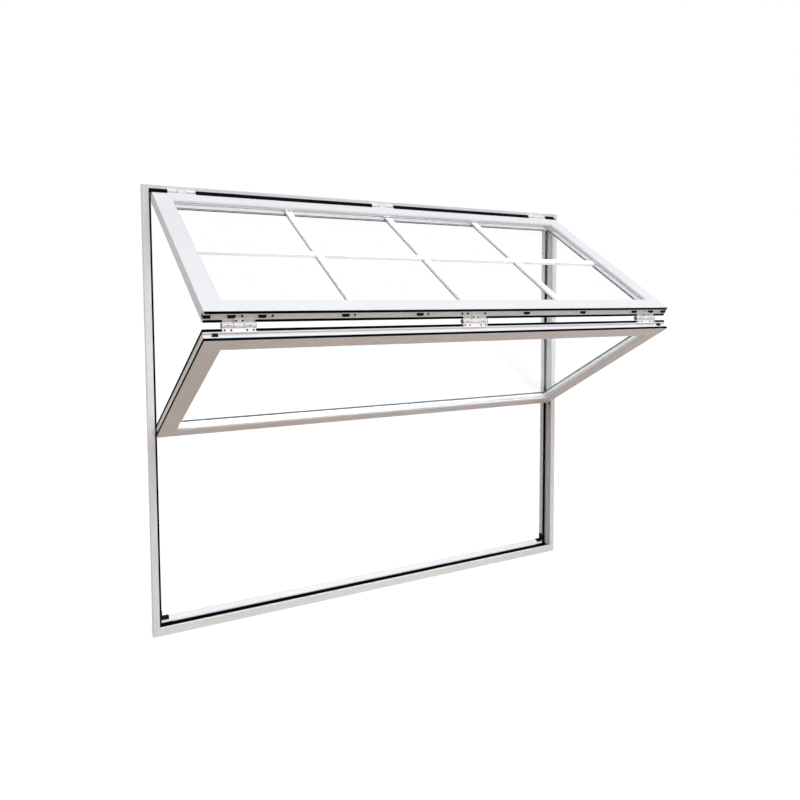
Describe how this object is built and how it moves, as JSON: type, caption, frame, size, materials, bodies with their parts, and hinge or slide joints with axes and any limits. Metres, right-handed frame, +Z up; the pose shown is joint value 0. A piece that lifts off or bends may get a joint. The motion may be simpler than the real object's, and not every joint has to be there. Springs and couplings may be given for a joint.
{
  "type": "bifold window",
  "caption": "Top-hung bifold window with double-glazed sashes that fold up and outwards in a slim white aluminium frame with side tracks.",
  "frame": {"origin": "middle of the sill's underside, at half the frame's depth", "axes": "+X to the right seen from outside, +Y towards the room, +Z up"},
  "size_m": [2.1, 0.815, 1.8],
  "materials": {
    "white_coat": "satin white powder coat on aluminium",
    "white_hinge": "satin white paint",
    "steel_pins": "dark zinc plated",
    "black_rubber": "matte",
    "black_plastic": "matte",
    "clear_glass": "clear float glass",
    "glass_spacer": "satin"
  },
  "bodies": {
    "root": {"centre_fold_hinge_lower_leaf": "white_hinge", "centre_fold_hinge_upper_leaf": "white_hinge", "centre_top_hinge_frame_leaf": "white_hinge", "centre_top_hinge_sash_leaf": "white_hinge", "fold_hinge_pins": "steel_pins", "frame_head": "white_coat", "frame_left_jamb": "white_coat", "frame_right_jamb": "white_coat", "frame_sill": "white_coat", "guide_pins": "steel_pins", "head_seal": "black_rubber", "left_fold_hinge_lower_leaf": "white_hinge", "left_fold_hinge_upper_leaf": "white_hinge", "left_guide_shoe": "black_plastic", "left_top_hinge_frame_leaf": "white_hinge", "left_top_hinge_sash_leaf": "white_hinge", "left_track_liner": "white_coat", "lower_bottom_rail": "white_coat", "lower_glass_spacer": "glass_spacer", "lower_glazing_bead": "white_coat", "lower_inner_pane": "clear_glass", "lower_left_stile": "white_coat", "lower_outer_pane": "clear_glass", "lower_right_stile": "white_coat", "lower_sash_seals": "black_rubber", "lower_top_rail": "white_coat", "right_fold_hinge_lower_leaf": "white_hinge", "right_fold_hinge_upper_leaf": "white_hinge", "right_guide_shoe": "black_plastic", "right_top_hinge_frame_leaf": "white_hinge", "right_top_hinge_sash_leaf": "white_hinge", "right_track_liner": "white_coat", "sill_corner_blocks": "black_plastic", "sill_seal": "black_rubber", "stop_gaskets": "black_rubber", "top_hinge_pins": "steel_pins", "upper_bottom_rail": "white_coat", "upper_glass_spacer": "glass_spacer", "upper_glazing_bead": "white_coat", "upper_inner_pane": "clear_glass", "upper_left_stile": "white_coat", "upper_outer_pane": "clear_glass", "upper_right_stile": "white_coat", "upper_sash_seals": "black_rubber", "upper_top_rail": "white_coat"}
  },
  "joints": []
}
